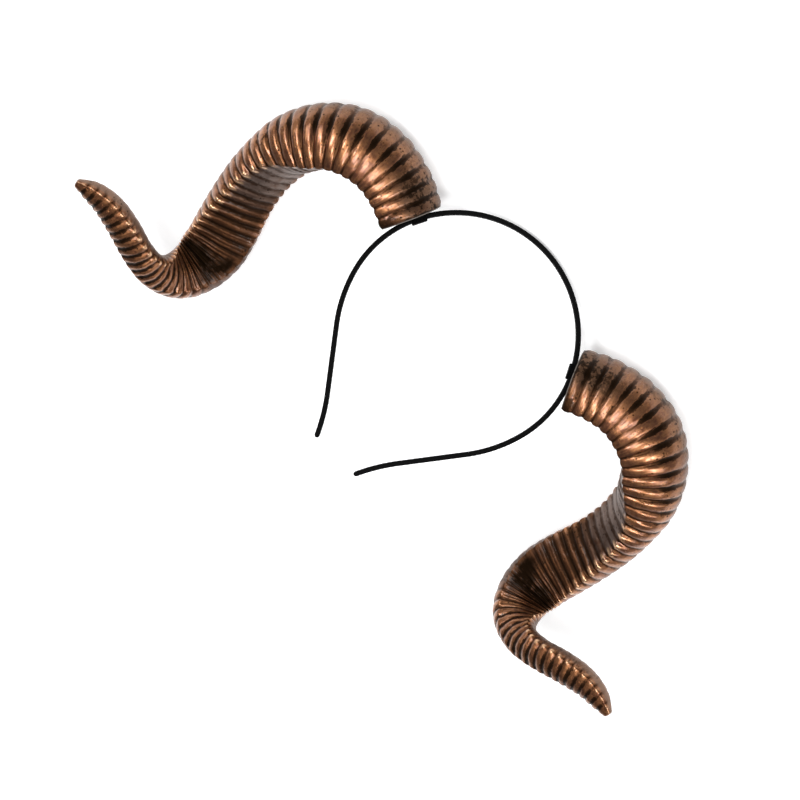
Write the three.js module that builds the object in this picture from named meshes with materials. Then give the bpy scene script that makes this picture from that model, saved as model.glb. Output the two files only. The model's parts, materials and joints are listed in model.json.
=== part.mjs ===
// Horn headband: a thin wrapped hair band with a ribbed ram's horn on each side of the crown.
// Lengths are millimetres. The parts are laid out in the plane of the band (x across the head,
// y toward the crown, z toward the front), then the whole is tipped to lie on a table, +Z up.
import * as THREE from "three";

const DEG = Math.PI / 180;

// Hair band: a flat strip with chamfered edges that runs from one tip over the crown to the other.
const BAND = { crown: 104, thick: 2.5, deep: 6, chamfer: 0.7, step: 6 };

// The band's line from the crown to one tip, as arcs that run on smoothly (sweep in degrees, a
// negative one flares outward again) and one straight run.
const BAND_ARCS = [
  { name: "crown", radius: 61, sweep: 63 },
  { name: "temple", radius: 57, sweep: 42 },
  { name: "cheek", radius: 74, sweep: 22.5 },
  { name: "leg", length: 34 },
  { name: "flare", radius: 100, sweep: -12.5 },
];

// Rounding of the band's tips: how far each ring runs past the last and how much it narrows.
const BAND_TIP = [
  { past: 0.8, share: 0.85 },
  { past: 1.4, share: 0.5 },
];

// Clearance between neighbouring parts.
const GAP = 0.3;

// Sections of a horn from its base to its tip. Out, up and front place the centre; wide is the
// breadth seen from the front and deep the breadth front to back; ridge is the direction of the
// inner front ridge, in degrees from straight ahead toward the head.
const HORN_SECTIONS = [
  { out: 57.7, up: 68.6, front: 0, wide: 33.4, deep: 32, ridge: 45 },
  { out: 71.2, up: 74.6, front: 2.5, wide: 34.8, deep: 33, ridge: 45 },
  { out: 87.4, up: 77.2, front: 4.5, wide: 36, deep: 34, ridge: 48 },
  { out: 103.4, up: 74.3, front: 4, wide: 36.8, deep: 34, ridge: 50 },
  { out: 117, up: 65.9, front: -1, wide: 34.4, deep: 33, ridge: 42 },
  { out: 126.3, up: 52.6, front: -10, wide: 32.2, deep: 32, ridge: 19 },
  { out: 129.2, up: 36.6, front: -22, wide: 31.4, deep: 30, ridge: -9 },
  { out: 128.2, up: 19.5, front: -34.5, wide: 32.3, deep: 28, ridge: -25 },
  { out: 124.5, up: 3.1, front: -45, wide: 34, deep: 26, ridge: -42 },
  { out: 121.5, up: -10.5, front: -53, wide: 33.6, deep: 24, ridge: -52 },
  { out: 121.3, up: -23.1, front: -57.5, wide: 31, deep: 23, ridge: -60 },
  { out: 124.9, up: -35.5, front: -55, wide: 26.5, deep: 21, ridge: -64 },
  { out: 133.2, up: -42.4, front: -40, wide: 18.7, deep: 18.5, ridge: -58 },
  { out: 144, up: -41.3, front: -22.5, wide: 16.5, deep: 16.5, ridge: -40 },
  { out: 156.6, up: -37.2, front: -11.5, wide: 16.5, deep: 16, ridge: -27 },
  { out: 169.8, up: -34.6, front: -5, wide: 14.7, deep: 14, ridge: -18 },
  { out: 180.2, up: -35.3, front: -1, wide: 10.9, deep: 10.4, ridge: -14 },
  { out: 187.3, up: -37.2, front: 1, wide: 5, deep: 5, ridge: -14 },
];

// Form of a horn's section: round, but for a flat face toward the head that runs from the ridge
// to a back corner, so many degrees on. The crest draws the ridge out. Past the lower bend, over
// a fade between two shares of the run, the face rounds off.
const HORN_FORM = { sides: 15, face: 120, flat: 0.75, tipFlat: 0.35, crest: 0.08, spread: 24 };
const FACE_FADE = { from: 0.56, to: 0.7 };

// Ribs round a horn: the grooves between them lie closer and shallower toward the tip. A rib is
// square to the horn's run over a fan, a share of its length each way, so it spreads round a bend.
const RIBS = { count: 51, crowding: 0.19, fan: 0.045, groove: 1.3, tipGroove: 0.5, sharpness: 4 };
const RIB_RINGS = [0, 0.3, 0.7];

// Strap loop that ties the band to a horn's base: a U round the band's inner face and edges,
// where the crown's arc ends. It is straight, so it stands a slack off the band's curved inside.
const LOOP = { wall: 1.3, length: 8, slack: 0.5 };

// The headband lies on its back, on the horns' lower bends and the crown: degrees about X.
const REST_TILT = 29.33;

const BLACK_WRAP = { color: 0x121212, roughness: 0.85, metalness: 0 };
const BLACK_STRAP = { color: 0x0c0c0c, roughness: 0.9, metalness: 0 };
const BRONZE = { color: 0x8a5634, roughness: 0.38, metalness: 0.75 };

// Closed skin over rings of equally many points, with a fan over the first and the last ring.
function loft(rings) {
  const sides = rings[0].length;
  const hub = (ring) => ring.reduce((sum, p) => sum.add(p), new THREE.Vector3()).divideScalar(sides);
  const points = [...rings.flat(), hub(rings[0]), hub(rings.at(-1))];
  const lastRing = (rings.length - 1) * sides;
  const startCap = rings.length * sides;
  const faces = [];
  for (let i = 0; i < sides; i += 1) {
    const j = (i + 1) % sides;
    for (let start = 0; start < lastRing; start += sides) {
      const next = start + sides;
      faces.push(start + i, start + j, next + j, start + i, next + j, next + i);
    }
    faces.push(startCap, j, i, startCap + 1, lastRing + i, lastRing + j);
  }
  const geometry = new THREE.BufferGeometry().setFromPoints(points);
  geometry.setIndex(faces);
  geometry.computeVertexNormals();
  return geometry;
}

// Place, heading and outward normal on one half of the band, after each small step from the crown.
// The first step is half a step, so that the crown itself is a flat facet.
function bandStations() {
  const stations = [];
  const place = new THREE.Vector2(0, BAND.crown);
  let turn = 0;
  const walk = (length, sweep) => {
    const heading = -(turn + sweep / 2) * DEG;
    place.add(new THREE.Vector2(Math.cos(heading), Math.sin(heading)).multiplyScalar(length));
    turn += sweep;
    stations.push({ x: place.x, y: place.y, turn });
  };
  for (const arc of BAND_ARCS) {
    if (arc.length) {
      walk(arc.length, 0);
      continue;
    }
    const steps = Math.ceil(Math.abs(arc.sweep) / BAND.step);
    const sweep = arc.sweep / steps;
    const sweeps = Array(steps).fill(sweep);
    if (stations.length === 0) {
      sweeps.splice(0, 1, sweep / 2);
      sweeps.push(sweep / 2);
    }
    for (const part of sweeps) {
      walk(2 * arc.radius * Math.sin(Math.abs(part / 2) * DEG), part);
    }
  }
  return stations;
}

// Ring of the band's section at a station, scaled by a share; side is 1 or -1 across the head.
function bandRing({ x, y, turn }, side, share = 1) {
  const thick = (BAND.thick / 2) * share;
  const deep = (BAND.deep / 2) * share;
  const cut = BAND.chamfer * share;
  const corners = [
    [thick, deep - cut], [thick - cut, deep], [cut - thick, deep], [-thick, deep - cut],
    [-thick, cut - deep], [cut - thick, -deep], [thick - cut, -deep], [thick, cut - deep],
  ];
  const normal = new THREE.Vector2(Math.sin(turn * DEG), Math.cos(turn * DEG));
  return corners.map(([n, z]) => new THREE.Vector3(side * (x + normal.x * n), y + normal.y * n, z));
}

function headband() {
  const half = bandStations();
  const tip = half.at(-1);
  const heading = -tip.turn * DEG;
  const side = (sign) => [
    ...half.map((station) => bandRing(station, sign)),
    ...BAND_TIP.map(({ past, share }) => bandRing({
      x: tip.x + Math.cos(heading) * past,
      y: tip.y + Math.sin(heading) * past,
      turn: tip.turn,
    }, sign, share)),
  ];
  return loft([...side(-1).reverse(), ...side(1)]);
}

// Unit outline of the horn's section with its ridge at an angle and its face cut so flat, boxed to
// half a unit each way.
function sectionOutline(ridge, flatness) {
  const outline = [];
  const halfFace = (HORN_FORM.face / 2) * DEG;
  for (let i = 0; i < HORN_FORM.sides; i += 1) {
    const around = (i / HORN_FORM.sides) * 2 * Math.PI;
    const fromRidge = Math.min(around, 2 * Math.PI - around) / DEG;
    const crest = HORN_FORM.crest * Math.exp(-((fromRidge / HORN_FORM.spread) ** 2));
    const chord = Math.cos(halfFace) / Math.cos(around - halfFace);
    const cut = around < 2 * halfFace ? flatness * (1 - chord) : 0;
    const radius = 1 + crest - cut;
    const angle = ridge * DEG + around;
    outline.push(new THREE.Vector2(radius * Math.sin(angle), radius * Math.cos(angle)));
  }
  const box = new THREE.Box2().setFromPoints(outline);
  const size = box.getSize(new THREE.Vector2());
  const centre = box.getCenter(new THREE.Vector2());
  return outline.map((p) => p.sub(centre).divide(size));
}

// A horn on the positive side: rings across its curved axis, three to each rib.
function horn() {
  const axis = new THREE.CatmullRomCurve3(HORN_SECTIONS.map((s) => new THREE.Vector3(s.out, s.up, s.front)));
  const sizes = new THREE.CatmullRomCurve3(
    HORN_SECTIONS.map((s) => new THREE.Vector3(s.wide, s.deep, s.ridge)), false, "catmullrom", 0.5,
  );
  const ahead = new THREE.Vector3(0, 0, 1);
  const rings = [];
  const phases = [];
  for (let rib = 0; rib < RIBS.count; rib += 1) {
    phases.push(...RIB_RINGS.map((part) => rib + part));
  }
  for (const phase of [...phases, RIBS.count]) {
    const u = phase / RIBS.count;
    const run = u * (1 + RIBS.crowding) - RIBS.crowding * u * u;
    const t = axis.getUtoTmapping(run);
    const size = sizes.getPoint(t);
    const before = axis.getPointAt(Math.max(0, run - RIBS.fan));
    const tangent = axis.getPointAt(Math.min(1, run + RIBS.fan)).sub(before).normalize();
    const toHead = new THREE.Vector3().crossVectors(tangent, ahead).normalize();
    const toFront = new THREE.Vector3().crossVectors(toHead, tangent);
    const depth = THREE.MathUtils.lerp(RIBS.groove, RIBS.tipGroove, u);
    const dip = 2 * depth * Math.abs(Math.cos(Math.PI * phase)) ** RIBS.sharpness;
    const centre = axis.getPoint(t);
    const fade = THREE.MathUtils.smoothstep(u, FACE_FADE.from, FACE_FADE.to);
    const flatness = THREE.MathUtils.lerp(HORN_FORM.flat, HORN_FORM.tipFlat, fade);
    rings.push(sectionOutline(size.z, flatness).map((p) => centre.clone()
      .addScaledVector(toHead, p.x * (size.x - dip))
      .addScaledVector(toFront, p.y * (size.y - dip))));
  }
  return loft(rings);
}

// The strap loop on the positive side, drawn as a U across the band and drawn out along it.
function bandLoop() {
  const inner = { half: BAND.deep / 2 + GAP, floor: -BAND.thick / 2 - LOOP.slack };
  const outer = { half: inner.half + LOOP.wall, floor: inner.floor - LOOP.wall };
  const mouth = BAND.thick / 2 - GAP;
  const outline = new THREE.Shape([
    new THREE.Vector2(mouth, outer.half),
    new THREE.Vector2(outer.floor, outer.half),
    new THREE.Vector2(outer.floor, -outer.half),
    new THREE.Vector2(mouth, -outer.half),
    new THREE.Vector2(mouth, -inner.half),
    new THREE.Vector2(inner.floor, -inner.half),
    new THREE.Vector2(inner.floor, inner.half),
    new THREE.Vector2(mouth, inner.half),
  ]);
  const { radius, sweep } = BAND_ARCS[0];
  const normal = new THREE.Vector3(Math.sin(sweep * DEG), Math.cos(sweep * DEG), 0);
  const front = new THREE.Vector3(0, 0, 1);
  const along = new THREE.Vector3().crossVectors(normal, front);
  const centre = new THREE.Vector3(0, BAND.crown - radius, 0).addScaledVector(normal, radius);
  const place = new THREE.Matrix4().makeBasis(normal, front, along).setPosition(centre);
  const geometry = new THREE.ExtrudeGeometry(outline, { depth: LOOP.length, bevelEnabled: false });
  return geometry.translate(0, 0, -LOOP.length / 2).applyMatrix4(place);
}

function node(name, geometry, finish, side = 1) {
  const mesh = new THREE.Mesh(geometry, new THREE.MeshStandardMaterial(finish));
  mesh.name = name;
  mesh.scale.x = side;
  return mesh;
}

const hornShape = horn();
const loopShape = bandLoop();
const flat = new THREE.Group();
flat.add(
  node("headband", headband(), BLACK_WRAP),
  node("horn_left", hornShape, BRONZE, -1),
  node("horn_right", hornShape, BRONZE),
  node("band_loop_left", loopShape, BLACK_STRAP, -1),
  node("band_loop_right", loopShape, BLACK_STRAP),
);
flat.rotation.x = -REST_TILT * DEG;

const part = new THREE.Group();
part.name = "horn_headband";
part.add(flat);
const box = new THREE.Box3().setFromObject(part, true);
const middle = box.getCenter(new THREE.Vector3());
flat.position.set(-middle.x, -middle.y, -box.min.z);

export default part;
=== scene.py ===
"""Horn headband, dressed for rendering: a ribbon-wound hair band with a painted ram's horn on each side."""

import json
import logging
import math
from bisect import bisect_right
from dataclasses import dataclass
from enum import Enum
from functools import cached_property, partial, reduce
from typing import Callable

import bmesh
import bpy
from bmesh.types import BMEdge, BMesh, BMVert
from bpy.types import Material, Node, NodeSocket as Socket, NodeTree, Object
from mathutils import Matrix, Vector, noise


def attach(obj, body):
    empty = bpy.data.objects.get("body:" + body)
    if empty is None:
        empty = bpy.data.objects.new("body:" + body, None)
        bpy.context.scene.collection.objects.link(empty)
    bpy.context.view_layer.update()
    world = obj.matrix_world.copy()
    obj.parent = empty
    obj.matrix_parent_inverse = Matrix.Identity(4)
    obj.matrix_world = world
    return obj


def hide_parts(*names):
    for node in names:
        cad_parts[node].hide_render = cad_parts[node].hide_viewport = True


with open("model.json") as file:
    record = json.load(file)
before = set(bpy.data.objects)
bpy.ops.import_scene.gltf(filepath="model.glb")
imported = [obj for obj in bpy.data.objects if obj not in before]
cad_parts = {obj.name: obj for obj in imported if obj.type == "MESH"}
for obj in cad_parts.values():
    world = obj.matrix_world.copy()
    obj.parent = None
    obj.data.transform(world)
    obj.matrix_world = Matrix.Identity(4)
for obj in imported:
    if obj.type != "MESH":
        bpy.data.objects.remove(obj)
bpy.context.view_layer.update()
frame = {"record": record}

logging.basicConfig(level=logging.INFO, format="%(name)s: %(message)s")
LOG = logging.getLogger("horn_headband")

MM = 0.001

# Bend in degrees past which an edge stays sharp.
SHARP = 50.0


class Side(Enum):
    """Side of the head, as the sign of X."""

    LEFT = -1
    RIGHT = 1

    @property
    def label(self) -> str:
        """Name of the side as the node names spell it."""
        return self.name.lower()


@dataclass(frozen=True)
class Lie:
    """How the headband lies: its plane against the floor, read from the seat at the crown.

    The layout plane has x across the head, y toward the crown and z toward the front.
    """

    seat: float = 102.675 * MM

    def matrix(self) -> Matrix:
        """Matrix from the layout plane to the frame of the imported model.

        Returns:
            A 4x4 matrix made of a turn about X and a shift.
        """
        mount = next(m for m in frame["record"]["mounts"] if m["name"] == "head_seat")
        _, along, up = mount["axis"]
        turn = Matrix.Rotation(-math.atan2(up, -along), 4, "X")
        shift = Vector(mount["pos_m"]) - turn @ Vector((0.0, self.seat, 0.0))
        return Matrix.Translation(shift) @ turn


LIE = Lie().matrix()


def smooth(none: float, full: float, value: float) -> float:
    """Smooth step of a value from 0 at none to 1 at full; none may be the larger."""
    f = min(1.0, max(0.0, (value - none) / (full - none)))
    return f * f * (3 - 2 * f)


@dataclass(frozen=True)
class Fade:
    """Weight that goes from 0 at one place to 1 at another, which may be the smaller."""

    none: float
    full: float

    def at(self, place: float) -> float:
        """Weight at a place."""
        return smooth(self.none, self.full, place)


@dataclass(frozen=True)
class Stretch:
    """Weight that grows from 0 to 1 between start and full, and falls again between ebb and end."""

    start: float
    full: float
    ebb: float
    end: float

    def at(self, place: float) -> float:
        """Weight at a place."""
        return smooth(self.start, self.full, place) * smooth(self.end, self.ebb, place)


class Spline:
    """Smooth line through points, with knots spaced by a power of the distance between them."""

    CLOSEST = 1e-6
    ROUNDING = 1e-12

    def __init__(self, points: list[Vector], power: float) -> None:
        """Stores the points with one mirrored point past each end.

        Args:
            points: The points that the line passes through.
            power: Exponent of the distance for a knot's step; 0 spaces the knots evenly.
        """
        self.points = [points[0] * 2 - points[1], *points, points[-1] * 2 - points[-2]]
        self.power = power
        self.spans = len(points) - 1

    def at(self, t: float) -> Vector:
        """Point on the line.

        Args:
            t: Place along the line, 0 at the first point and 1 at the last.

        Returns:
            The point there.
        """
        place = min(max(t, 0.0), 1.0) * self.spans
        span = min(int(place), self.spans - 1)
        p0, p1, p2, p3 = self.points[span:span + 4]
        pairs = ((p0, p1), (p1, p2), (p2, p3))
        d0, d1, d2 = (max((b - a).length ** self.power, self.CLOSEST) for a, b in pairs)
        slope1 = ((p1 - p0) / d0 - (p2 - p0) / (d0 + d1) + (p2 - p1) / d1) * d1
        slope2 = ((p2 - p1) / d1 - (p3 - p1) / (d1 + d2) + (p3 - p2) / d2) * d1
        f = place - span
        return (p1 * (2 * f**3 - 3 * f**2 + 1) + slope1 * (f**3 - 2 * f**2 + f)
                + p2 * (3 * f**2 - 2 * f**3) + slope2 * (f**3 - f**2))

    def by_length(self, chords: int) -> Callable[[float], float]:
        """Measures the line.

        Args:
            chords: How many chords the length is summed over.

        Returns:
            A function from a share of the length to the t there.
        """
        lengths = [0.0]
        for i in range(chords):
            lengths.append(lengths[-1] + (self.at((i + 1) / chords) - self.at(i / chords)).length)

        def t_at(share: float) -> float:
            """Finds a place on the line.

            Args:
                share: Share of the length.

            Returns:
                The t there.
            """
            goal = min(max(share, 0.0), 1.0) * lengths[-1]
            low = bisect_right(lengths, goal + self.ROUNDING, hi=chords) - 1
            return (low + (goal - lengths[low]) / (lengths[low + 1] - lengths[low])) / chords

        return t_at


Vertex = tuple[Vector, tuple[float, ...]]


class Tube:
    """Skin drawn out of a ring, one ring after the next, with values at each vertex for the paint."""

    def __init__(self, sides: int, marks: tuple[str, ...] = ()) -> None:
        """Starts with a circle.

        Args:
            sides: Vertices in a ring.
            marks: Names of the values that each vertex carries.
        """
        self.bm = bmesh.new()
        self.spoke = self.bm.verts.layers.int.new("spoke")
        self.marks = [self.bm.verts.layers.float.new(mark) for mark in marks]
        self.verts = bmesh.ops.create_circle(self.bm, segments=sides, radius=MM)["verts"]
        for i, vert in enumerate(self.verts):
            vert[self.spoke] = i
        self.edges = list(self.bm.edges)
        self.started = False

    def ring(self, place: Callable[[int], Vertex]) -> None:
        """Draws the skin on to one more ring, or puts the first ring in place.

        Args:
            place: From the number of a vertex in the ring to its point and its values.
        """
        if self.started:
            drawn = bmesh.ops.extrude_edge_only(self.bm, edges=self.edges)["geom"]
            self.verts = [g for g in drawn if isinstance(g, BMVert)]
            new = set(self.verts)
            edges = [g for g in drawn if isinstance(g, BMEdge)]
            self.edges = [edge for edge in edges if new.issuperset(edge.verts)]
        self.started = True
        for vert in self.verts:
            vert.co, values = place(vert[self.spoke])
            for layer, value in zip(self.marks, values):
                vert[layer] = value

    def close(self) -> None:
        """Closes the last ring and then the first with a face each."""
        bmesh.ops.contextual_create(self.bm, geom=self.edges)
        bmesh.ops.contextual_create(self.bm, geom=[e for e in self.bm.edges if e.is_boundary])

    def finish(self, name: str, side: Side = Side.RIGHT, sharp: float = SHARP) -> Object:
        """Turns a copy of the skin into an object.

        Args:
            name: Name of the piece.
            side: The left side is the mirror image of what was drawn.
            sharp: Edges that bend more than this many degrees stay sharp.

        Returns:
            The new object, at the origin, in the scene.
        """
        bm = self.bm.copy()
        mirror = Matrix.Diagonal((side.value, 1.0, 1.0, 1.0))
        bmesh.ops.transform(bm, matrix=LIE @ mirror, verts=bm.verts)
        bmesh.ops.recalc_face_normals(bm, faces=bm.faces)
        return add_object(name, bm, sharp)


def add_object(name: str, bm: BMesh, sharp: float = SHARP) -> Object:
    """Puts a bmesh in the scene as an object with smooth faces.

    Args:
        name: Name of the object and its mesh.
        bm: The mesh, which is freed.
        sharp: Edges that bend more than this many degrees stay sharp.

    Returns:
        The object, at the origin.
    """
    for face in bm.faces:
        face.smooth = True
    for edge in bm.edges:
        edge.smooth = edge.calc_face_angle(0.0) < math.radians(sharp)
    mesh = bpy.data.meshes.new(name)
    bm.to_mesh(mesh)
    bm.free()
    piece = bpy.data.objects.new(name, mesh)
    bpy.context.scene.collection.objects.link(piece)
    return piece


def seat_piece(piece: Object, node: str, material: Material) -> None:
    """Gives a piece its material and its place in the model.

    Args:
        piece: The piece.
        node: The CAD node that it stands for.
        material: Its material.
    """
    piece.data.materials.append(material)
    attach(piece, "root")
    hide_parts(node)
    LOG.info("%s: %d faces, stands for %s", piece.name, len(piece.data.polygons), node)


@dataclass(frozen=True)
class Section:
    """One section of a horn, in millimetres and degrees."""

    out: float
    up: float
    front: float
    wide: float
    deep: float
    ridge: float


HORN_SECTIONS = (
    Section(out=57.7, up=68.6, front=0, wide=33.4, deep=32, ridge=45),
    Section(out=71.2, up=74.6, front=2.5, wide=34.8, deep=33, ridge=45),
    Section(out=87.4, up=77.2, front=4.5, wide=36, deep=34, ridge=48),
    Section(out=103.4, up=74.3, front=4, wide=36.8, deep=34, ridge=50),
    Section(out=117, up=65.9, front=-1, wide=34.4, deep=33, ridge=42),
    Section(out=126.3, up=52.6, front=-10, wide=32.2, deep=32, ridge=19),
    Section(out=129.2, up=36.6, front=-22, wide=31.4, deep=30, ridge=-9),
    Section(out=128.2, up=19.5, front=-34.5, wide=32.3, deep=28, ridge=-25),
    Section(out=124.5, up=3.1, front=-45, wide=34, deep=26, ridge=-42),
    Section(out=121.5, up=-10.5, front=-53, wide=33.6, deep=24, ridge=-52),
    Section(out=121.3, up=-23.1, front=-57.5, wide=31, deep=23, ridge=-60),
    Section(out=124.9, up=-35.5, front=-55, wide=26.5, deep=21, ridge=-64),
    Section(out=133.2, up=-42.4, front=-40, wide=18.7, deep=18.5, ridge=-58),
    Section(out=144, up=-41.3, front=-22.5, wide=16.5, deep=16.5, ridge=-40),
    Section(out=156.6, up=-37.2, front=-11.5, wide=16.5, deep=16, ridge=-27),
    Section(out=169.8, up=-34.6, front=-5, wide=14.7, deep=14, ridge=-18),
    Section(out=180.2, up=-35.3, front=-1, wide=10.9, deep=10.4, ridge=-14),
    Section(out=187.3, up=-37.2, front=1, wide=5, deep=5, ridge=-14),
)


@dataclass(frozen=True)
class HornZones:
    """Where the horn changes: along it from 0 at the base to 1 at the tip.

    Names that end in turn are shares of a turn round it from the ridge, by way of the inner face.
    """

    spindles: Fade = Fade(0.36, 0.20)
    spindle_turn: Stretch = Stretch(0.695, 0.79, 0.82, 0.90)
    tip: Fade = Fade(0.60, 0.68)
    tip_turn: Stretch = Stretch(0.40, 0.50, 0.93, 0.985)
    dash_turn: Stretch = Stretch(0.03, 0.09, 0.50, 0.62)
    outer_spread: Stretch = Stretch(0.28, 0.40, 0.60, 0.66)
    outer_near_turn: Fade = Fade(0.40, 0.50)
    outer_far_turn: Fade = Fade(0.82, 0.67)
    corner: Stretch = Stretch(0.42, 0.50, 0.58, 0.64)
    corner_turn: Stretch = Stretch(0.21, 0.29, 0.42, 0.48)
    soft: Fade = Fade(0.36, 0.26)
    soft_turn: Fade = Fade(0.10, 0.03)
    dull: Fade = Fade(0.42, 0.62)
    worn: Stretch = Stretch(0.24, 0.28, 0.34, 0.42)
    face_end: Fade = Fade(0.56, 0.70)
    round_front: Stretch = Stretch(0.06, 0.15, 0.32, 0.42)
    lines: Stretch = Stretch(0.43, 0.52, 0.62, 0.72)
    beads: Fade = Fade(0.22, 0.32)
    bend_beads: Stretch = Stretch(0.28, 0.36, 0.52, 0.60)
    plain_end: Fade = Fade(1.0, 0.988)


@dataclass(frozen=True)
class Horn:
    """Ribbed ram's horn with a flat base, in millimetres, degrees, counts and shares from 0 to 1."""

    sections: tuple[Section, ...] = HORN_SECTIONS
    zones: HornZones = HornZones()
    sides: int = 72
    chords: int = 400
    face: float = 120.0
    face_edge: float = 1.08
    face_blend: float = 0.25
    flat: float = 0.75
    tip_flat: float = 0.35
    crest: float = 0.08
    crest_spread: float = 24.0
    crest_loss: float = 0.9
    ribs: int = 51
    rings: int = 12
    crowding: float = 0.19
    fan: float = 0.045
    groove: float = 1.3
    tip_groove: float = 0.45
    sharpness: float = 5.0
    face_sharpness: float = 2.4
    single_line: float = 0.55
    single_sharpness: int = 4
    double_line: float = 0.45
    double_sharpness: int = 3
    uneven: tuple[tuple[float, float], ...] = ((0.16, 0.6), (0.5, 0.4))
    ragged: float = 0.5
    wobble: float = 0.2
    bead: float = 0.35
    bend_bead: float = 0.3
    bead_spread: float = 13.0
    dash: float = 0.75
    outer_spread: float = 0.13
    soft_loss: float = 0.5
    dull_loss: float = 0.4
    bend_dull_loss: float = 0.35
    worn_loss: float = 0.75
    base_rings: tuple[float, ...] = (0.35, 0.7, 0.96)
    dome: tuple[float, ...] = (30.0, 55.0, 75.0)
    dome_height: float = 1.0

    MARKS = ("groove", "along", "inner", "streak", "ridge", "back", "ring_x", "ring_y")

    @cached_property
    def axis(self) -> Spline:
        """Line through the middles of the sections."""
        return Spline([Vector((s.out, s.up, s.front)) for s in self.sections], power=0.5)

    @cached_property
    def breadths(self) -> Spline:
        """Breadth, depth and direction of the ridge along the axis."""
        return Spline([Vector((s.wide, s.deep, s.ridge)) for s in self.sections], power=0.0)

    @cached_property
    def t_at(self) -> Callable[[float], float]:
        """Function from a share of the axis's length to the t there."""
        return self.axis.by_length(self.chords)

    def outline(self, ridge: float, flatness: float, crest: float) -> list[Vector]:
        """Round outline with a flat inner face, boxed to half a unit each way.

        Args:
            ridge: Direction of its ridge in degrees from the front.
            flatness: How far the inner face is cut flat, from 0 to 1.
            crest: How far the ridge is drawn out, as a share of the radius.

        Returns:
            A point for each spoke, the first on the ridge.
        """
        half_face = math.radians(self.face) / 2
        points = []
        for i in range(self.sides):
            around = i / self.sides * 2 * math.pi
            off = math.degrees(min(around, 2 * math.pi - around))
            chord = math.cos(half_face) / math.cos(around - half_face)
            cut = flatness * (1 - chord) if around < 2 * half_face else 0.0
            radius = 1 + crest * math.exp(-((off / self.crest_spread) ** 2)) - cut
            angle = math.radians(ridge) + around
            points.append(Vector((radius * math.sin(angle), radius * math.cos(angle))))
        low = Vector((min(p.x for p in points), min(p.y for p in points)))
        high = Vector((max(p.x for p in points), max(p.y for p in points)))
        size, middle = high - low, (low + high) / 2
        return [Vector(((p.x - middle.x) / size.x, (p.y - middle.y) / size.y)) for p in points]

    def inner(self, turn: float) -> float:
        """How far a place lies on the flat inner face: 1 in its middle, 0 off it."""
        off = abs(turn * 360.0 - self.face / 2) / (self.face / 2)
        return min(1.0, max(0.0, (self.face_edge - off) / self.face_blend))

    def ridge(self, turn: float) -> float:
        """How near a place lies to the ridge: 1 on it, 0 well off it."""
        off = min(turn, 1 - turn) * 360.0
        return math.exp(-((off / self.bead_spread) ** 2))

    def streak(self, turn: float, u: float) -> float:
        """How far a groove is blackened: spindles on the arch, dashes under the ridge of the tip."""
        arch = self.zones.spindle_turn.at(turn) * self.zones.spindles.at(u)
        return max(arch, self.dash * self.zones.dash_turn.at(turn) * self.zones.tip.at(u))

    def back(self, turn: float, u: float) -> float:
        """How far a place lies on a dull side: the outer side, the tip's front and the bend's back corner.

        Args:
            turn: Share of a turn from the ridge, by way of the inner face.
            u: Place along the horn, 0 at the base and 1 at the tip.

        Returns:
            A share from 0 to 1.
        """
        zones = self.zones
        spread = self.outer_spread * zones.outer_spread.at(u)
        outer = zones.outer_near_turn.at(turn) * zones.outer_far_turn.at(turn - spread)
        tip = zones.tip_turn.at(turn) * zones.tip.at(u)
        corner = zones.corner_turn.at(turn) * zones.corner.at(u)
        return max(outer, tip, corner)

    def relief(self, turn: float, u: float, inner: float) -> float:
        """Share of the grooves' depth: less on the arch's ridge, the dull sides and the inner face's top.

        Args:
            turn: Share of a turn from the ridge, by way of the inner face.
            u: Place along the horn, 0 at the base and 1 at the tip.
            inner: How far the place lies on the inner face.

        Returns:
            A share from 0 to 1.
        """
        zones = self.zones
        soft = self.soft_loss * zones.soft_turn.at(min(turn, 1 - turn)) * zones.soft.at(u)
        dull = self.back(turn, u) * (self.dull_loss + self.bend_dull_loss * zones.dull.at(u))
        worn = self.worn_loss * inner * zones.worn.at(u)
        return 1.0 - max(soft, dull, worn)

    def draw_ring(self, skin: Tube, phase: float, share: float = 1.0, ahead: float = 0.0) -> None:
        """Draws the horn on to the ring at a phase.

        Args:
            skin: The skin.
            phase: Place along the horn, in ribs.
            share: Size of the ring against the horn's own there.
            ahead: How far past that place the ring lies, in millimetres.
        """
        zones, u = self.zones, phase / self.ribs
        run = u * (1 + self.crowding) - self.crowding * u * u
        t = self.t_at(run)
        wide, deep, ridge = self.breadths.at(t)
        tangent = self.axis.at(self.t_at(run + self.fan)) - self.axis.at(self.t_at(run - self.fan))
        tangent.normalize()
        to_head = tangent.cross(Vector((0, 0, 1))).normalized()
        to_front = to_head.cross(tangent)
        centre = self.axis.at(t) + tangent * ahead
        flatness = self.flat + (self.tip_flat - self.flat) * zones.face_end.at(u)
        crest = self.crest * (1 - self.crest_loss * zones.round_front.at(u))
        outline = self.outline(ridge, flatness, crest)
        depth = self.groove + (self.tip_groove - self.groove) * u
        rise = abs(math.cos(math.pi * phase))
        twin = abs(math.cos(2 * math.pi * phase))
        lines = self.single_line * rise**self.single_sharpness
        lines += self.double_line * twin**self.double_sharpness
        lined = zones.lines.at(u)
        bead = self.bead + self.bend_bead * zones.bend_beads.at(u)
        bead *= (1 - rise**2) * zones.beads.at(u)
        grooved = zones.plain_end.at(u)

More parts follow.
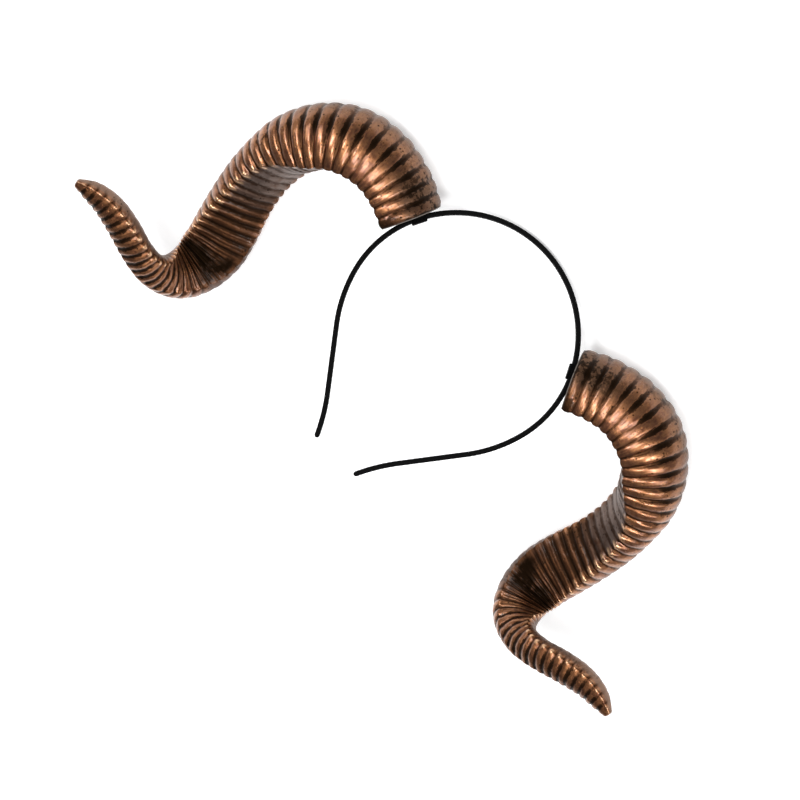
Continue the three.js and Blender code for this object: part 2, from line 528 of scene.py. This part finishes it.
        def place(spoke: int) -> Vertex:
            """Places one vertex of the ring.

            Args:
                spoke: Number of the vertex in the ring.

            Returns:
                Its point and its marks.
            """
            p, turn = outline[spoke], spoke / self.sides
            bare = centre + to_head * (p.x * wide) + to_front * (p.y * deep)
            uneven = sum(noise.noise(bare * scale) * weight for scale, weight in self.uneven)
            inner, ridged = self.inner(turn), self.ridge(turn)
            wave = rise ** (self.sharpness + (self.face_sharpness - self.sharpness) * inner)
            wave = (wave + (lines - wave) * inner * lined) * grooved
            dip = depth * self.relief(turn, u, inner) * wave * (1 + self.ragged * uneven)
            dip += self.wobble * uneven - bead * ridged
            across = to_head * (p.x * (wide - 2 * dip)) + to_front * (p.y * (deep - 2 * dip))
            angle = turn * 2 * math.pi
            sides = (inner, self.streak(turn, u), ridged, self.back(turn, u))
            return (centre + across * share) * MM, (wave, u, *sides, math.cos(angle), math.sin(angle))

        skin.ring(place)

    def build(self) -> Tube:
        """Draws the whole horn on the positive side, from the middle of its base to a domed tip.

        Returns:
            Its skin, closed at both ends.
        """
        skin = Tube(self.sides, self.MARKS)
        for share in self.base_rings:
            self.draw_ring(skin, 0.0, share=share)
        for i in range(self.ribs * self.rings + 1):
            self.draw_ring(skin, i / self.rings)
        for angle in map(math.radians, self.dome):
            self.draw_ring(skin, self.ribs, share=math.cos(angle), ahead=self.dome_height * math.sin(angle))
        skin.close()
        return skin

    def dress(self, skin: Tube, side: Side, paint: Material) -> None:
        """Adds the horn of one side, copied from its skin and painted."""
        piece = skin.finish(f"ram_horn_{side.label}", side)
        seat_piece(piece, f"horn_{side.label}", paint)


@dataclass(frozen=True)
class Arc:
    """One run of the band: an arc of a radius and a sweep in degrees, or a straight length."""

    radius: float = 0.0
    sweep: float = 0.0
    length: float = 0.0


BAND_ARCS = (
    Arc(radius=61, sweep=63),
    Arc(radius=57, sweep=42),
    Arc(radius=74, sweep=22.5),
    Arc(length=34),
    Arc(radius=100, sweep=-12.5),
)

Station = tuple[Vector, float, float]


@dataclass(frozen=True)
class Band:
    """Hair band wound in ribbon, in millimetres and degrees; its arcs run from the crown to one tip."""

    arcs: tuple[Arc, ...] = BAND_ARCS
    crown: float = 104.0
    thick: float = 2.7
    deep: float = 6.0
    squareness: float = 4.0
    sides: int = 28
    step: float = 0.3
    pitch: float = 2.6
    ribbon: float = 0.07
    ribbon_middle: float = 0.8
    tip: float = 1.6
    tip_rings: int = 5
    tip_sweep: float = 80.0
    sharp: float = 80.0

    def half(self) -> list[Station]:
        """Follows the arcs.

        Returns:
            Stations from the crown to one tip: place, turn in radians and run in millimetres.
        """
        place, turn, run = Vector((0.0, self.crown, 0.0)), 0.0, 0.0
        stations = [(place.copy(), turn, run)]
        for arc in self.arcs:
            length = arc.length or arc.radius * math.radians(abs(arc.sweep))
            steps = max(1, round(length / self.step))
            sweep = math.radians(arc.sweep) / steps
            for _ in range(steps):
                heading = -(turn + sweep / 2)
                place = place + Vector((math.cos(heading), math.sin(heading), 0.0)) * (length / steps)
                turn += sweep
                run += length / steps
                stations.append((place.copy(), turn, run))
        return stations

    def draw_ring(self, skin: Tube, station: Station, side: Side, share: float) -> None:
        """Draws the band on to a ring.

        Args:
            skin: The skin.
            station: Place, turn and run of the ring.
            side: Side of the head.
            share: Size of the ring against the band's own.
        """
        place, turn, run = station
        normal = Vector((math.sin(turn), math.cos(turn), 0.0))

        def squared(value: float) -> float:
            """Draws a round outline out toward the corners of its box."""
            return math.copysign(abs(value) ** (2 / self.squareness), value)

        def spot(spoke: int) -> Vertex:
            """Places one vertex of the ring.

            Args:
                spoke: Number of the vertex in the ring.

            Returns:
                Its point, and no marks.
            """
            angle = spoke / self.sides * 2 * math.pi
            lap = (side.value * run / self.pitch + spoke / self.sides) % 1.0
            lift = self.ribbon * (math.sqrt(max(0.0, math.sin(math.pi * lap))) - self.ribbon_middle)
            thick = (self.thick / 2 + lift) * share * squared(math.cos(angle))
            deep = (self.deep / 2 + lift) * share * squared(math.sin(angle))
            point = place + normal * thick + Vector((0, 0, deep))
            point.x *= side.value
            return point * MM, ()

        skin.ring(spot)

    def build(self) -> Tube:
        """Draws the band from one tip to the other.

        Returns:
            Its skin, closed at both ends.
        """
        skin = Tube(self.sides)
        half = self.half()
        place, turn, run = half[-1]
        heading = Vector((math.cos(turn), -math.sin(turn), 0.0))
        rings = [(station, 1.0) for station in half]
        for i in range(1, self.tip_rings + 1):
            part = i / self.tip_rings
            angle = part * math.radians(self.tip_sweep)
            station = (place + heading * (self.tip * math.sin(angle)), turn, run + self.tip * part)
            rings.append((station, math.cos(angle)))
        for station, share in reversed(rings):
            self.draw_ring(skin, station, Side.LEFT, share)
        for station, share in rings[1:]:
            self.draw_ring(skin, station, Side.RIGHT, share)
        skin.close()
        return skin

    def dress(self, ribbon: Material) -> None:
        """Adds the band, wound in its ribbon."""
        piece = self.build().finish("band_wound", sharp=self.sharp)
        seat_piece(piece, "headband", ribbon)


@dataclass(frozen=True)
class BandLoop:
    """Felt strap in a U round the band at a horn's base, where the crown's arc ends; in millimetres."""

    band: Band
    strip: float = 2.5
    wall: float = 1.3
    length: float = 8.0
    slack: float = 0.5
    gap: float = 0.3
    edge: float = 0.45
    edge_steps: int = 3
    cuts: int = 2
    uneven: float = 0.06
    uneven_scale: float = 900.0

    def place(self, side: Side) -> Matrix:
        """Matrix from the loop's own axes (out of the band, to the front, along it) to the model's frame.

        Args:
            side: Side of the head.

        Returns:
            A 4x4 matrix.
        """
        arc = self.band.arcs[0]
        turn = math.radians(arc.sweep)
        normal = Vector((math.sin(turn), math.cos(turn), 0.0))
        front = Vector((0.0, 0.0, 1.0))
        centre = (Vector((0.0, self.band.crown - arc.radius, 0.0)) + normal * arc.radius) * MM
        axes = Matrix((normal, front, normal.cross(front))).transposed().to_4x4()
        mirror = Matrix.Diagonal((side.value, 1.0, 1.0, 1.0))
        return LIE @ mirror @ Matrix.Translation(centre) @ axes

    def build(self, side: Side) -> Object:
        """Folds the loop out of a flat strip: one floor face, walls drawn out of its edges.

        Args:
            side: Side of the head.

        Returns:
            The loop.
        """
        bm = bmesh.new()
        half = (self.band.deep / 2 + self.gap + self.wall / 2) * MM
        floor = -(self.strip / 2 + self.slack + self.wall / 2) * MM
        mouth = (self.strip / 2 - self.gap) * MM
        bmesh.ops.create_grid(bm, x_segments=1, y_segments=1, size=1.0)
        bmesh.ops.transform(bm, matrix=Matrix.Rotation(math.pi / 2, 4, "Y"), verts=bm.verts)
        bmesh.ops.scale(bm, vec=(1.0, half, self.length * MM / 2), verts=bm.verts)
        bmesh.ops.translate(bm, vec=(floor, 0.0, 0.0), verts=bm.verts)
        ends = [e for e in bm.edges if abs(e.verts[0].co.y - e.verts[1].co.y) < half]
        drawn = bmesh.ops.extrude_edge_only(bm, edges=ends)["geom"]
        tops = [g for g in drawn if isinstance(g, BMVert)]
        bmesh.ops.translate(bm, vec=(mouth - floor, 0.0, 0.0), verts=tops)
        bmesh.ops.recalc_face_normals(bm, faces=bm.faces)
        bmesh.ops.solidify(bm, geom=bm.faces[:], thickness=self.wall * MM / 2)
        bmesh.ops.bevel(
            bm, geom=bm.edges[:], offset=self.edge * MM, affect="EDGES", segments=self.edge_steps,
            profile=0.5, material=-1)
        bmesh.ops.subdivide_edges(bm, edges=bm.edges[:], cuts=self.cuts, use_grid_fill=True)
        for vert in bm.verts:
            vert.co += vert.normal * noise.noise(vert.co * self.uneven_scale) * self.uneven * MM
        bmesh.ops.transform(bm, matrix=self.place(side), verts=bm.verts)
        bmesh.ops.recalc_face_normals(bm, faces=bm.faces)
        return add_object(f"strap_loop_{side.label}", bm)

    def dress(self, side: Side, felt: Material) -> None:
        """Adds the loop of one side, in felt."""
        seat_piece(self.build(side), f"band_loop_{side.label}", felt)


Inputs = dict[str | int, object]


class Kind(Enum):
    """Kind of a node group's socket."""

    COLOUR = "NodeSocketColor"
    VALUE = "NodeSocketFloat"
    NORMAL = "NodeSocketVector"


class Graph:
    """Short way to add and join nodes in a node tree."""

    # Numbers of a colour Mix node's sockets: the share and both colours, and the result.
    MIX_INPUTS = (0, 6, 7)
    MIX_OUTPUT = 2

    def __init__(self, tree: NodeTree) -> None:
        """Stores a shader node tree."""
        self.tree = tree

    def fill(self, node: Node, inputs: Inputs) -> None:
        """Gives inputs of a node their values, or joins them to the sockets that feed them.

        Args:
            node: The node.
            inputs: From an input's name or number to a value, or to the socket that feeds it.
        """
        for key, value in inputs.items():
            if isinstance(value, Socket):
                self.tree.links.new(value, node.inputs[key])
            else:
                node.inputs[key].default_value = value

    def add(self, kind: str, inputs: Inputs | None = None, **settings: object) -> Node:
        """Adds a node.

        Args:
            kind: Its type, without the leading word ShaderNode.
            inputs: Its inputs, as fill takes them.
            **settings: Properties of the node.

        Returns:
            The node.
        """
        node = self.tree.nodes.new(f"ShaderNode{kind}")
        for name, value in settings.items():
            setattr(node, name, value)
        self.fill(node, inputs or {})
        return node

    def wear(self, shader: Node, group: NodeTree, inputs: Inputs | None = None) -> None:
        """Places a node group and joins its outputs to the shader's sockets of the same names."""
        for output in self.add("Group", inputs, node_tree=group).outputs:
            self.tree.links.new(output, shader.inputs[output.name])

    def math(self, operation: str, *values: object) -> Socket:
        """Adds a Math node and returns its output."""
        return self.add("Math", dict(enumerate(values)), operation=operation).outputs[0]

    def product(self, *values: object) -> Socket:
        """Product of several values."""
        return reduce(partial(self.math, "MULTIPLY"), values)

    def most(self, *values: Socket) -> Socket:
        """Largest of several values."""
        return reduce(partial(self.math, "MAXIMUM"), values)

    def less(self, value: Socket) -> Socket:
        """What a value leaves of 1."""
        return self.math("SUBTRACT", 1.0, value)

    def add_up(self, *terms: tuple[Socket | None, float]) -> Socket:
        """Weighted sum of values; a term with no socket is a constant."""
        parts = [weight if value is None else self.product(value, weight) for value, weight in terms]
        return reduce(partial(self.math, "ADD"), parts)

    def ramp(self, value: Socket, fade: Fade) -> Socket:
        """Weight of a value by a fade."""
        inputs = {"Value": value, "From Min": fade.none, "From Max": fade.full}
        return self.add("MapRange", inputs, interpolation_type="SMOOTHSTEP").outputs["Result"]

    def within(self, value: Socket, stretch: Stretch) -> Socket:
        """Weight of a value by a stretch."""
        grow, fall = Fade(stretch.start, stretch.full), Fade(stretch.end, stretch.ebb)
        return self.product(self.ramp(value, grow), self.ramp(value, fall))

    def mix(self, share: object, first: object, second: object) -> Socket:
        """Mixes two colours by a share."""
        inputs = dict(zip(self.MIX_INPUTS, (share, first, second)))
        return self.add("Mix", inputs, data_type="RGBA").outputs[self.MIX_OUTPUT]

    def noise(self, place: Socket, scale: float, detail: float, roughness: float = 0.5) -> Socket:
        """Adds a noise texture and returns its value."""
        inputs = {"Vector": place, "Scale": scale, "Detail": detail, "Roughness": roughness}
        return self.add("TexNoise", inputs).outputs["Fac"]

    def mark(self, name: str) -> Socket:
        """Value of a vertex mark."""
        return self.add("Attribute", attribute_name=name).outputs["Fac"]

    def object_place(self) -> Socket:
        """Object coordinates."""
        return self.add("TexCoord").outputs["Object"]

    def bump(self, height: Socket, strength: float, distance: float) -> Socket:
        """Normal of a surface with a fine height on it."""
        inputs = {"Strength": strength, "Distance": distance, "Height": height}
        return self.add("Bump", inputs).outputs["Normal"]


def new_group(
    name: str, outputs: dict[str, Kind], inputs: dict[str, Kind] | None = None,
) -> tuple[NodeTree, Graph, Node]:
    """Starts a shader node group.

    Args:
        name: Name of the group.
        outputs: From an output's name to its kind.
        inputs: From an input's name to its kind.

    Returns:
        The group, a graph on it and its output node.
    """
    group = bpy.data.node_groups.new(name, "ShaderNodeTree")
    for in_out, sockets in (("INPUT", inputs or {}), ("OUTPUT", outputs)):
        for label, kind in sockets.items():
            group.interface.new_socket(name=label, in_out=in_out, socket_type=kind.value)
    return group, Graph(group), group.nodes.new("NodeGroupOutput")


def new_material(name: str) -> tuple[Material, Graph, Node]:
    """Starts a material with one Principled shader.

    Args:
        name: Name of the material.

    Returns:
        The material, a graph on it and its shader node.
    """
    material = bpy.data.materials.new(name)
    material.use_nodes = True
    graph = Graph(material.node_tree)
    shader = next(n for n in material.node_tree.nodes if n.type == "BSDF_PRINCIPLED")
    return material, graph, shader


Colour = tuple[float, float, float, float]


@dataclass(frozen=True)
class PaintScales:
    """Roughness of the paint's noise and its scales: per metre, but along and round the horn for the comb."""

    roughness: float = 0.6
    cloud: float = 85.0
    grain: float = 420.0
    fine: float = 1900.0
    pits: float = 480.0
    comb_along: float = 360.0
    comb_round: float = 4.0


@dataclass(frozen=True)
class PaintZones:
    """Where the paint changes along the horn, from 0 at the base to 1 at the tip."""

    rim: Fade = Fade(0.0022, 0.0006)
    corner: Fade = Fade(0.026, 0.013)
    foot: Fade = Fade(0.11, 0.03)
    outer: Fade = Fade(0.42, 0.30)
    patch: Stretch = Stretch(0.24, 0.28, 0.34, 0.43)
    beads: Fade = Fade(0.22, 0.34)
    bend: Stretch = Stretch(0.29, 0.41, 0.66, 0.74)
    blot: Stretch = Stretch(0.520, 0.545, 0.575, 0.60)
    face: Fade = Fade(0.70, 0.58)
    tip: Fade = Fade(0.64, 0.74)
    tip_beads: Fade = Fade(0.80, 0.92)


class PaintMasks:
    """Masks of the horn's paint: values over its skin that the colours and the gloss are mixed by."""

    def __init__(self, g: Graph, scales: PaintScales, zones: PaintZones) -> None:
        """Makes the masks in a node group.

        Args:
            g: Graph of the group.
            scales: Scales of the noise.
            zones: Where the paint changes.
        """
        self.graph = g
        self.zones = zones
        marks = (g.mark(name) for name in Horn.MARKS)
        self.groove, self.along, self.inner, self.streak, self.ridge, self.back, ring_x, ring_y = marks
        place = g.object_place()
        combed = g.add("CombineXYZ", {
            0: g.product(self.along, scales.comb_along),
            1: g.product(ring_x, scales.comb_round),
            2: g.product(ring_y, scales.comb_round),
        }).outputs[0]
        speckle = partial(g.noise, roughness=scales.roughness)
        self.comb = speckle(combed, scale=1.0, detail=4.0)
        self.cloud = speckle(place, scales.cloud, detail=5.0)
        self.grain = speckle(place, scales.grain, detail=5.0)
        self.fine = speckle(place, scales.fine, detail=3.0)
        pits = {"Vector": place, "Scale": scales.pits, "Randomness": 1.0}
        self.pits = g.add("TexVoronoi", pits).outputs["Distance"]
        self.ragged = g.add_up(
            (self.groove, 1.0), (self.cloud, 0.7), (self.grain, 0.8), (self.comb, 1.6), (None, -1.55))
        self.turned = g.add_up((ring_x, 0.7), (ring_y, 0.7))
        self.tip = g.ramp(self.along, zones.tip)
        self.foot = g.product(g.ramp(self.along, zones.foot), g.ramp(self.turned, Fade(0.35, -0.15)))
        self.face = g.product(self.inner, g.ramp(self.along, zones.face))
        self.patch = g.product(self.inner, g.within(self.along, zones.patch))
        self.bend = g.within(self.along, zones.bend)
        self.open_side = g.less(g.product(self.back, g.add_up((self.tip, 0.5), (None, 0.3))))
        self.crease = g.product(g.ramp(self.ragged, Fade(0.45, 0.90)), self.open_side)
        # Dull places get rougher, and painted shade darkens them toward the dull sides' colour.
        self.dull = g.product(g.most(self.back, self.foot), g.add_up((self.cloud, 0.9), (None, 0.35)))
        # Painted shade: the inner face, and a little of the tip, darkened toward umber.
        self.painted_shade = g.most(g.product(self.face, 0.86), g.product(self.tip, 0.15))
        self.rim = g.product(g.ramp(self.along, zones.rim), g.ramp(self.grain, Fade(0.30, 0.50)))

    @cached_property
    def wash_and_corner_shade(self) -> Socket:
        """Black wash in every place where it stays, and the painted shade in the base's inner corner."""
        g = self.graph
        # The base's dark inner corner here is painted shade.
        base = g.product(g.most(self.spots, self.corner), 0.9)
        valley, specks = g.product(self.valley, 0.72), g.product(self.specks, 0.85)
        return g.most(self.soot, base, valley, self.blot, specks)

    @cached_property
    def soot(self) -> Socket:
        """Wash in the grooves, wide and black in the spindles and dashes."""
        g = self.graph
        reach = g.add_up((self.streak, -0.66), (None, 0.86))
        spread = g.ramp(g.math("SUBTRACT", self.ragged, reach), Fade(0.0, 0.25))
        return g.product(spread, self.open_side, g.add_up((self.streak, 0.55), (None, 0.42)))

    @cached_property
    def spots(self) -> Socket:
        """Mottling at the base and, thinner, on the outer side of the arch."""
        g = self.graph
        terms = ((self.cloud, 0.3), (self.grain, 1.2), (self.groove, 0.15), (self.streak, 0.12))
        mottle = g.ramp(g.add_up(*terms), Fade(0.82, 0.98))
        outer = g.product(self.back, g.ramp(self.along, self.zones.outer))
        return g.product(g.most(self.foot, g.product(outer, 0.6)), mottle)

    @cached_property
    def corner(self) -> Socket:
        """Painted shade in the base's inner corner, next to the band."""
        g = self.graph
        edge = g.add_up((self.along, 1.0), (self.grain, -0.03), (None, 0.015))
        side = g.add_up((self.turned, 1.0), (self.grain, 0.8), (None, -0.4))
        return g.product(g.ramp(edge, self.zones.corner), g.ramp(side, Fade(0.05, 0.45)))

    @cached_property
    def valley(self) -> Socket:
        """Wash between the lines of the inner face, little of it on the worn patch."""
        g = self.graph
        depth = g.add_up((self.groove, 1.0), (self.grain, 0.6), (self.comb, 0.8), (None, -0.7))
        unworn = g.math("SUBTRACT", self.face, g.product(self.patch, 0.8))
        return g.product(unworn, g.ramp(depth, Fade(0.10, 0.62)))

    @cached_property
    def blot(self) -> Socket:
        """Black blot across the inner face at the bend."""
        g = self.graph
        drift = g.add_up((self.along, 1.0), (self.cloud, 0.08), (None, -0.04))
        torn = g.ramp(g.add_up((self.cloud, 1.0), (self.comb, 0.5)), Fade(0.56, 0.72))
        return g.product(g.within(drift, self.zones.blot), g.ramp(self.inner, Fade(0.3, 0.8)), torn)

    @cached_property
    def specks(self) -> Socket:
        """Scattered black pits."""
        g = self.graph
        where = g.ramp(g.add_up((self.cloud, 0.6), (self.grain, 0.7)), Fade(0.62, 0.76))
        return g.product(g.ramp(self.pits, Fade(0.36, 0.20)), where)

    @cached_property
    def rub_highlight(self) -> Socket:
        """Tops of the beads on the ridge, rubbed bright: partly worn paint, partly a painted highlight."""
        g = self.graph
        bead = g.product(g.ramp(self.ridge, Fade(0.42, 0.95)), g.ramp(self.groove, Fade(0.16, 0.015)))
        return g.product(bead, g.ramp(self.along, self.zones.beads), g.ramp(self.grain, Fade(0.34, 0.50)))


@dataclass(frozen=True)
class HornPaint:
    """Copper paint on the ribs with a black wash in the grooves."""

    copper: Colour = (0.40, 0.168, 0.068, 1.0)
    russet: Colour = (0.17, 0.062, 0.030, 1.0)
    # Umber: the painted shade of the inner face, the tip and the bend's corner, and the real wash at the
    # grooves' edges.
    umber_shade_and_wash: Colour = (0.052, 0.021, 0.009, 1.0)
    wash: Colour = (0.012, 0.0055, 0.002, 1.0)
    ash: Colour = (0.15, 0.103, 0.083, 1.0)
    # Painted shade and grey reflection on the arch's outer side and the base's outer part.
    outer_shade: Colour = (0.097, 0.058, 0.037, 1.0)
    # Painted grey reflection on the tip's front.
    tip_reflected_grey: Colour = (0.19, 0.125, 0.090, 1.0)
    # Painted highlight: bright gold on the tops of the ridge beads.
    highlight_gold: Colour = (0.85, 0.50, 0.27, 1.0)
    bare: Colour = (0.16, 0.135, 0.115, 1.0)
    metal: float = 0.97
    bare_loss: float = 0.8
    coat: float = 0.65
    coat_roughness: float = 0.18
    bump: float = 0.45
    bump_distance: float = 0.4 * MM
    scales: PaintScales = PaintScales()
    zones: PaintZones = PaintZones()

    def colour(self, g: Graph, m: PaintMasks) -> Socket:
        """Colour from the ribs' own tone up through painted shade, wear, a painted highlight on rubbed beads,
        and the black wash to the bare rim.

        Args:
            g: Graph of the paint's group.
            m: Masks of the paint.

        Returns:
            The colour's socket.
        """
        clouded = g.add_up((m.cloud, 0.4), (m.grain, 0.3), (m.comb, 0.3))
        tone = g.mix(g.ramp(clouded, Fade(0.38, 0.60)), self.russet, self.copper)
        # Painted shade on the dull sides: grey-brown on the outer side and base, umber at the bend's corner,
        # grey on the tip's front.
        dull_side_shade = g.mix(m.tip, g.mix(m.bend, self.outer_shade, self.umber_shade_and_wash), self.tip_reflected_grey)
        # Painted shade: the inner face and tip toward umber, then the dull sides toward their own shade.
        worn = g.mix(m.dull, g.mix(m.painted_shade, tone, self.umber_shade_and_wash), dull_side_shade)
        aged = g.mix(g.product(m.patch, g.ramp(m.cloud, Fade(0.28, 0.50))), worn, self.ash)
        edged = g.mix(g.product(m.crease, 0.85), aged, self.umber_shade_and_wash)
        # Painted highlight on the beads, weaker toward the tip's end; partly rubbed paint.
        highlight_share = g.add_up((g.ramp(m.along, self.zones.tip_beads), -0.55), (None, 0.85))
        rubbed = g.mix(g.product(m.rub_highlight, highlight_share), edged, self.highlight_gold)
        return g.mix(m.rim, g.mix(m.wash_and_corner_shade, rubbed, self.wash), self.bare)

    def roughness(self, g: Graph, m: PaintMasks) -> Socket:
        """Roughness: more on the wash, the painted shade and dull places, less on rubbed ones."""
        return g.add_up(
            (m.grain, 0.16), (m.fine, 0.08), (m.wash_and_corner_shade, 0.20), (m.painted_shade, 0.12), (m.dull, 0.15), (m.tip, 0.05),
            (m.rub_highlight, -0.08), (None, 0.20))

    def gloss(self, g: Graph, m: PaintMasks) -> Socket:
        """Weight of the gloss coat: on clean ribs, and in full on rubbed beads."""
        clean = g.less(g.most(m.wash_and_corner_shade, m.crease, m.painted_shade, m.dull, g.product(m.tip, 0.5)))
        return g.most(g.product(clean, self.coat), m.rub_highlight)

    def normal(self, g: Graph, m: PaintMasks) -> Socket:
        """Normal of the paint's grain and pits."""
        terms = ((m.grain, 0.5), (m.fine, 0.25), (m.comb, 0.35), (g.ramp(m.pits, Fade(0.05, 0.30)), 0.6))
        return g.bump(g.add_up(*terms), self.bump, self.bump_distance)

    def group(self) -> NodeTree:
        """Makes the paint's pattern.

        Returns:
            A node group that puts out the colour, metal share, roughness, gloss coat and normal.
        """
        group, g, out = new_group("horn_paint", {
            "Base Color": Kind.COLOUR, "Metallic": Kind.VALUE, "Roughness": Kind.VALUE,
            "Coat Weight": Kind.VALUE, "Normal": Kind.NORMAL,
        })
        m = PaintMasks(g, self.scales, self.zones)
        g.fill(out, {
            "Base Color": self.colour(g, m),
            "Metallic": g.add_up((m.rim, -self.bare_loss), (None, self.metal)),
            "Roughness": self.roughness(g, m),
            "Coat Weight": self.gloss(g, m),
            "Normal": self.normal(g, m),
        })
        return group

    def material(self) -> Material:
        """Makes the paint.

        Returns:
            The material of the horns.
        """
        material, graph, shader = new_material("horn_paint")
        graph.wear(shader, self.group())
        graph.fill(shader, {"Coat Roughness": self.coat_roughness})
        return material


@dataclass(frozen=True)
class Weave:
    """Fine weave under a little fuzz, which every cloth shares."""

    weft_scale: float = 1.3
    warp_bend: float = 0.6
    weft_bend: float = 0.8
    fuzz_scale: float = 1400.0
    thread_weight: float = 0.6
    fuzz_weight: float = 0.4
    bump: float = 0.5
    bump_distance: float = 0.2 * MM

    def group(self) -> NodeTree:
        """Makes the weave.

        Returns:
            A node group from the threads' scale and two tones to the cloth's colour and normal.
        """
        group, g, out = new_group(
            "weave", outputs={"Base Color": Kind.COLOUR, "Normal": Kind.NORMAL},
            inputs={"Threads": Kind.VALUE, "Dark": Kind.COLOUR, "Light": Kind.COLOUR})
        cloth = group.nodes.new("NodeGroupInput").outputs
        place = g.object_place()
        lines = {"Vector": place, "Scale": cloth["Threads"], "Distortion": self.warp_bend, "Detail": 1.0}
        warp = g.add("TexWave", lines, bands_direction="DIAGONAL").outputs["Fac"]
        lines |= {"Scale": g.product(cloth["Threads"], self.weft_scale), "Distortion": self.weft_bend}
        weft = g.add("TexWave", lines, bands_direction="Z").outputs["Fac"]
        fuzz = g.noise(place, self.fuzz_scale, detail=3.0)
        height = g.add_up((g.product(warp, weft), self.thread_weight), (fuzz, self.fuzz_weight))
        g.fill(out, {
            "Base Color": g.mix(g.ramp(height, Fade(0.15, 0.75)), cloth["Dark"], cloth["Light"]),
            "Normal": g.bump(height, self.bump, self.bump_distance),
        })
        return group


@dataclass(frozen=True)
class Cloth:
    """Black cloth: ribbon or felt."""

    name: str
    dark: Colour
    light: Colour
    threads: float
    roughness: float
    sheen: float = 0.02
    sheen_roughness: float = 0.5
    specular: float = 0.05

    def material(self, weave: NodeTree) -> Material:
        """Makes the cloth.

        Args:
            weave: Node group of the weave.

        Returns:
            The material of the cloth.
        """
        material, graph, shader = new_material(self.name)
        graph.wear(shader, weave, {"Threads": self.threads, "Dark": self.dark, "Light": self.light})
        graph.fill(shader, {
            "Roughness": self.roughness,
            "Sheen Weight": self.sheen,
            "Sheen Roughness": self.sheen_roughness,
            "Specular IOR Level": self.specular,
        })
        return material


BLACK = (0.001, 0.001, 0.001, 1.0)
RIBBON = Cloth("band_ribbon", dark=BLACK, light=(0.006, 0.006, 0.0065, 1.0), threads=700.0, roughness=0.7)
FELT = Cloth("loop_felt", dark=BLACK, light=(0.004, 0.004, 0.004, 1.0), threads=420.0, roughness=0.9)


@dataclass(frozen=True)
class Softbox:
    """Studio light that looks at the headband: its place, width and height in metres, and its watts."""

    name: str
    place: tuple[float, float, float]
    wide: float
    high: float
    power: float


@dataclass(frozen=True)
class Studio:
    """Floor, light and camera, in metres and degrees."""

    aim: tuple[float, float] = (3.2 * MM, 0.0)
    distance: float = 1.2
    field: float = 0.4
    sensor: float = 36.0
    roll: float = 45.0
    boxes: tuple[Softbox, ...] = (
        Softbox("overhead_box", (0.0, 0.28, 1.5), 0.6, 0.5, 11.2),
        Softbox("key_left", (-1.0, 0.22, 1.25), 0.35, 0.3, 7.5),
        Softbox("key_right", (1.0, 0.22, 1.25), 0.35, 0.3, 7.5),
        Softbox("left_box", (-1.4, 0.2, 0.9), 0.6, 0.6, 4.0),
        Softbox("right_box", (1.4, 0.2, 0.9), 0.6, 0.6, 4.0),
    )
    lit_place: tuple[float, float, float] = (0.0, 0.0, 0.04)
    sky: Colour = (0.55, 0.56, 0.58, 1.0)
    sky_strength: float = 0.35
    floor_half: float = 3.0
    floor_tones: tuple[Colour, Colour] = ((0.90, 0.90, 0.90, 1.0), (0.93, 0.93, 0.93, 1.0))
    floor_clouds: float = 6.0
    floor_roughness: float = 0.95
    floor_specular: float = 0.1
    # The floor's glow is painted light that fills the shadows on it.
    floor_light: Colour = (1.0, 1.0, 1.0, 1.0)
    floor_glow: float = 0.45

    def camera(self) -> None:
        """Camera square to the band's plane, rolled as the photograph is."""
        data = bpy.data.cameras.new("camera")
        data.sensor_width = self.sensor
        data.lens = self.sensor * self.distance / self.field
        camera = bpy.data.objects.new("camera", data)
        place = Matrix.Translation(Vector((*self.aim, self.distance)))
        camera.matrix_world = LIE @ place @ Matrix.Rotation(math.radians(self.roll), 4, "Z")
        bpy.context.scene.collection.objects.link(camera)
        bpy.context.scene.camera = camera

    def floor(self) -> None:
        """Pale floor that glows a little: painted light that fills the shadows on it and lights the headband
        from below.
        """
        bm = bmesh.new()
        bmesh.ops.create_grid(bm, x_segments=1, y_segments=1, size=self.floor_half)
        floor = add_object("floor", bm)
        material, graph, shader = new_material("floor_paper")
        clouds = graph.noise(graph.object_place(), self.floor_clouds, detail=2.0)
        graph.fill(shader, {
            "Base Color": graph.mix(clouds, *self.floor_tones),
            "Roughness": self.floor_roughness,
            "Specular IOR Level": self.floor_specular,
            "Emission Color": self.floor_light,
            "Emission Strength": self.floor_glow,
        })
        floor.data.materials.append(material)

    def lights(self) -> None:
        """Softboxes and a dim sky."""
        for box in self.boxes:
            data = bpy.data.lights.new(box.name, "AREA")
            data.shape = "RECTANGLE"
            data.size = box.wide
            data.size_y = box.high
            data.energy = box.power
            light = bpy.data.objects.new(box.name, data)
            light.location = box.place
            look = Vector(self.lit_place) - Vector(box.place)
            light.rotation_euler = look.to_track_quat("-Z", "Y").to_euler()
            bpy.context.scene.collection.objects.link(light)
        world = bpy.data.worlds.new("studio")
        world.use_nodes = True
        sky = world.node_tree.nodes["Background"]
        sky.inputs["Color"].default_value = self.sky
        sky.inputs["Strength"].default_value = self.sky_strength
        bpy.context.scene.world = world

    def build(self) -> None:
        """Sets up the whole studio."""
        self.camera()
        self.floor()
        self.lights()
        bpy.context.scene.view_settings.view_transform = "Standard"


def main() -> None:
    """Builds the headband and its studio."""
    horn, band, weave = Horn(), Band(), Weave().group()
    loop = BandLoop(band)
    skin, paint, felt = horn.build(), HornPaint().material(), FELT.material(weave)
    for side in Side:
        horn.dress(skin, side, paint)
        loop.dress(side, felt)
    band.dress(RIBBON.material(weave))
    Studio().build()


if __name__ == "__main__":
    main()
